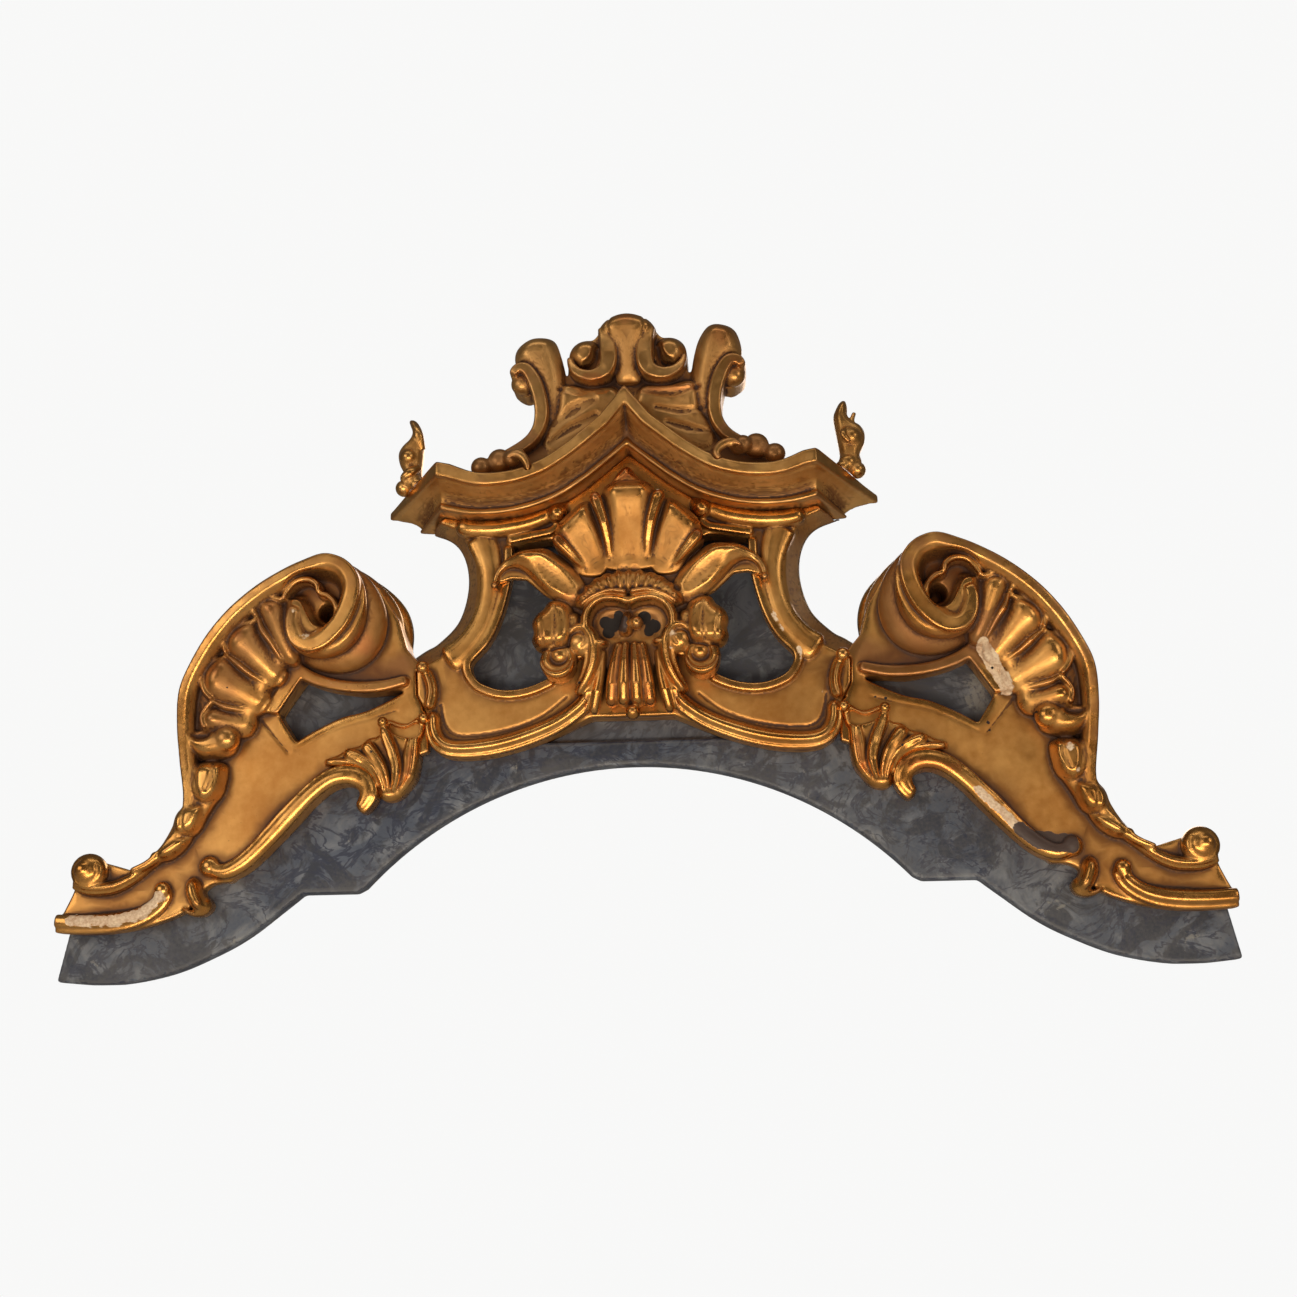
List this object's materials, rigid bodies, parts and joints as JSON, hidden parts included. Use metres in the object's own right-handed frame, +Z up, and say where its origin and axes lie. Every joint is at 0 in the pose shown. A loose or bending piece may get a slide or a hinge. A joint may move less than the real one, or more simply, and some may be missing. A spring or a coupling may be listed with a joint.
{
  "type": "carved wood pediment",
  "caption": "Carved and gilded wooden pediment with scallop shell, volutes and leaf crown, on a marbled painted board with an arched lower edge",
  "frame": {"origin": "on the flat back of the painted board, on the middle line, level with the bottom of the shell's hinge", "axes": "+X to the right seen from the front, +Y into the wall, +Z up; the carved front looks along -Y"},
  "size_m": [1.616, 0.13, 0.9493],
  "materials": {
    "marbled_paint": "slate blue and grey marbled paint on wood, matt, worn and dusty",
    "gilding": "water gilding over red bole, burnished on the raised carving, worn through to bole and gesso in places",
    "dull_gilding": "gilding dulled brown by dust and old varnish, rubbed on the edges"
  },
  "bodies": {
    "root": {"painted_board": "marbled_paint", "middle_frame": "gilding", "right_wing": "gilding", "left_wing": "gilding", "right_acanthus": "gilding", "left_acanthus": "gilding", "cornice": "dull_gilding", "shell_cartouche": "gilding", "crown": "dull_gilding", "left_finial": "dull_gilding", "right_finial": "dull_gilding"}
  },
  "joints": []
}
